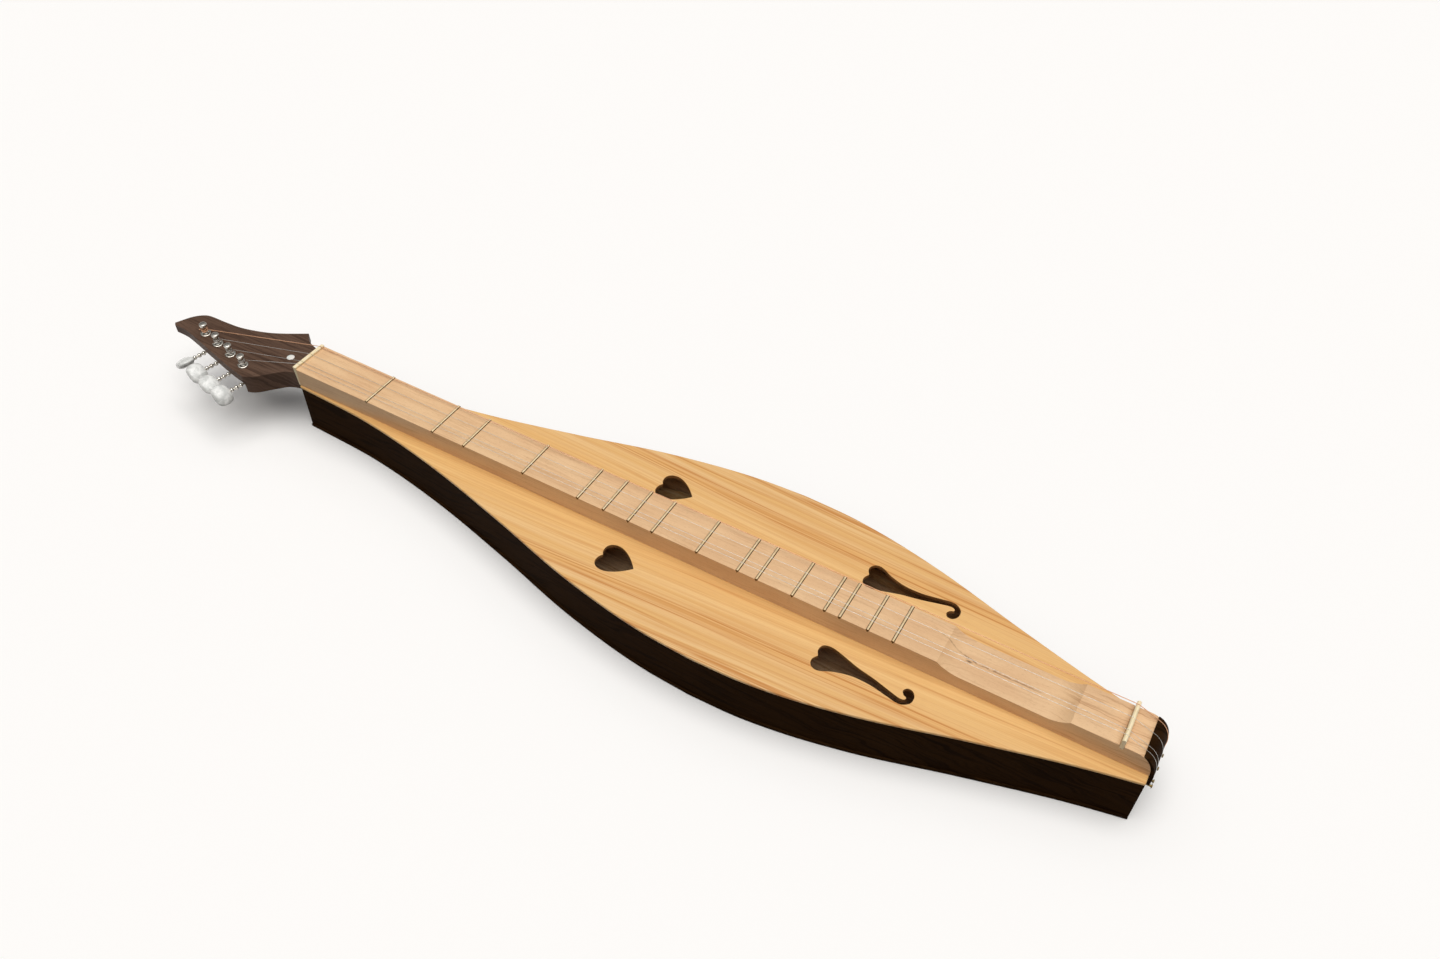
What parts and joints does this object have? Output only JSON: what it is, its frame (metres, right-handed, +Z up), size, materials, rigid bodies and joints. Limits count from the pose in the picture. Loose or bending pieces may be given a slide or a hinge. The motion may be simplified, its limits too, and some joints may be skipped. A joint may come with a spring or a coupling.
{
  "type": "mountain dulcimer",
  "caption": "Fretted mountain dulcimer: teardrop body, raised fretboard with strum hollow, heart and scroll sound holes, slanted peghead with geared tuners and taut strings.",
  "frame": {"origin": "on the centre line, on the underside of the back, midway between the nut's inner face and the nominal bridge line", "axes": "+X from the peghead to the tail along the strings, +Y across the body, away from the seated player and the tuner keys, +Z up from the back to the strings"},
  "size_m": [0.9018, 0.1836, 0.0737],
  "materials": {
    "soundboard_softwood": "satin lacquer",
    "dark_walnut": "satin lacquer",
    "fretboard_hardwood": "oiled, open grain",
    "frame_spruce": "bare",
    "bone": "polished bone",
    "nickel": "bright nickel plate",
    "gear_brass": "machined",
    "string_steel": "plain drawn wire",
    "string_copper": "copper-coloured wound wire",
    "pearl_plastic": "pearloid, polished",
    "shell": "mother of pearl, polished"
  },
  "bodies": {
    "instrument": {"back_board": "dark_walnut", "brace_back_head": "frame_spruce", "brace_back_tail": "frame_spruce", "brace_top_head": "frame_spruce", "brace_top_tail": "frame_spruce", "bridge": "bone", "fretboard": "fretboard_hardwood", "hitch_pin_bass": "gear_brass", "hitch_pin_middle": "gear_brass", "hitch_pin_melody_outer": "gear_brass", "hitch_pin_melody_inner": "gear_brass", "lining_back_far": "frame_spruce", "lining_back_near": "frame_spruce", "lining_top_far": "frame_spruce", "lining_top_near": "frame_spruce", "nut": "bone", "pearl_dot": "shell", "peghead": "dark_walnut", "plate_screw_1": "string_steel", "plate_screw_2": "string_steel", "plate_screw_3": "string_steel", "post_bushing_1": "nickel", "post_bushing_2": "nickel", "post_bushing_3": "nickel", "post_bushing_4": "nickel", "side_far": "dark_walnut", "side_near": "dark_walnut", "soundboard_far": "soundboard_softwood", "soundboard_near": "soundboard_softwood", "string_bass": "string_copper", "string_middle": "string_steel", "string_melody_outer": "string_steel", "string_melody_inner": "string_steel", "tail_block": "dark_walnut", "tail_cap": "dark_walnut", "tuner_plate": "nickel"},
    "tuner_key_1": {"key_shaft_1": "nickel", "key_button_1": "pearl_plastic"},
    "string_post_1": {"post_1": "nickel", "gear_1": "gear_brass", "gear_screw_1": "string_steel", "winding_bass": "string_copper"},
    "tuner_key_2": {"key_shaft_2": "nickel", "key_button_2": "pearl_plastic"},
    "string_post_2": {"post_2": "nickel", "gear_2": "gear_brass", "gear_screw_2": "string_steel", "winding_middle": "string_steel"},
    "tuner_key_3": {"key_shaft_3": "nickel", "key_button_3": "pearl_plastic"},
    "string_post_3": {"post_3": "nickel", "gear_3": "gear_brass", "gear_screw_3": "string_steel", "winding_melody_outer": "string_steel"},
    "tuner_key_4": {"key_shaft_4": "nickel", "key_button_4": "pearl_plastic"},
    "string_post_4": {"post_4": "nickel", "gear_4": "gear_brass", "gear_screw_4": "string_steel", "winding_melody_inner": "string_steel"}
  },
  "joints": [
    {"name": "key_turn_1", "type": "hinge", "parent": "instrument", "child": "tuner_key_1", "pos_m": [-0.46577, -0.01924, 0.046], "axis": [-0.2317, -0.9728, 0], "continuous": true},
    {"name": "post_turn_1", "type": "hinge", "parent": "instrument", "child": "string_post_1", "pos_m": [-0.4718, -0.0178, 0.059], "axis": [0, 0, 1], "continuous": true},
    {"name": "key_turn_2", "type": "hinge", "parent": "instrument", "child": "tuner_key_2", "pos_m": [-0.44583, -0.02399, 0.046], "axis": [-0.2317, -0.9728, 0], "continuous": true},
    {"name": "post_turn_2", "type": "hinge", "parent": "instrument", "child": "string_post_2", "pos_m": [-0.45186, -0.02255, 0.059], "axis": [0, 0, 1], "continuous": true},
    {"name": "key_turn_3", "type": "hinge", "parent": "instrument", "child": "tuner_key_3", "pos_m": [-0.42589, -0.02874, 0.046], "axis": [-0.2317, -0.9728, 0], "continuous": true},
    {"name": "post_turn_3", "type": "hinge", "parent": "instrument", "child": "string_post_3", "pos_m": [-0.43192, -0.0273, 0.059], "axis": [0, 0, 1], "continuous": true},
    {"name": "key_turn_4", "type": "hinge", "parent": "instrument", "child": "tuner_key_4", "pos_m": [-0.40594, -0.03349, 0.046], "axis": [-0.2317, -0.9728, 0], "continuous": true},
    {"name": "post_turn_4", "type": "hinge", "parent": "instrument", "child": "string_post_4", "pos_m": [-0.41197, -0.03205, 0.059], "axis": [0, 0, 1], "continuous": true}
  ],
  "couplings": [
    {"joint": "post_turn_1", "follows": "key_turn_1", "ratio": 0.071429},
    {"joint": "post_turn_2", "follows": "key_turn_2", "ratio": 0.071429},
    {"joint": "post_turn_3", "follows": "key_turn_3", "ratio": 0.071429},
    {"joint": "post_turn_4", "follows": "key_turn_4", "ratio": 0.071429}
  ]
}
